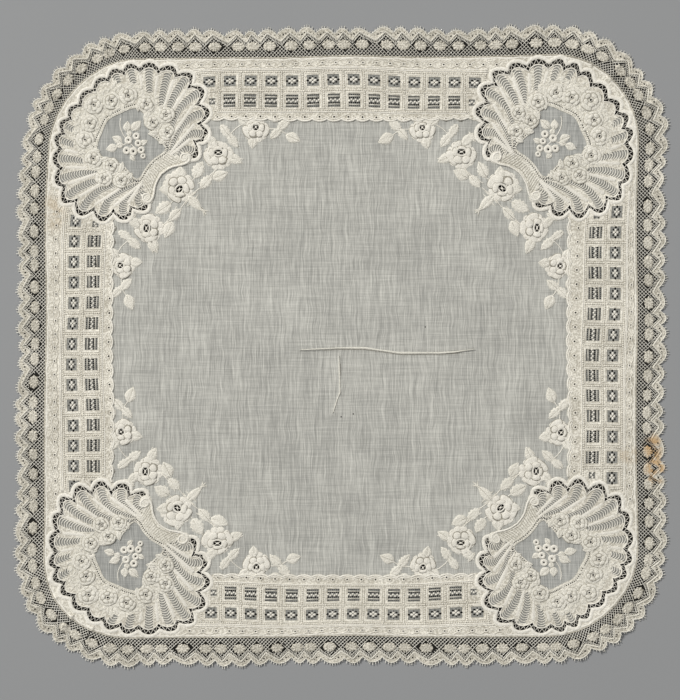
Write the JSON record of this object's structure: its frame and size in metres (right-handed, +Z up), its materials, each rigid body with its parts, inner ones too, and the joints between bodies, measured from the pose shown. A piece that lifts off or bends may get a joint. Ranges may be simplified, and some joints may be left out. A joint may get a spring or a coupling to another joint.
{
  "type": "lace handkerchief",
  "caption": "Square lawn handkerchief laid flat, with embroidered shell corners, rose sprays, a pierced border and a scalloped bobbin lace edging.",
  "frame": {"origin": "middle of the underside, on the surface that the handkerchief lies on", "axes": "+Z up from the surface, +X to the right side and +Y to the top side of the square seen from above"},
  "size_m": [0.4459, 0.4383, 0.0019],
  "materials": {
    "lawn": "matt, sheer ground with dense satin stitch",
    "lace": "matt cotton thread, open net and close clothwork"
  },
  "bodies": {
    "root": {"lawn_panel": "lawn", "lace_edging": "lace"}
  },
  "joints": []
}
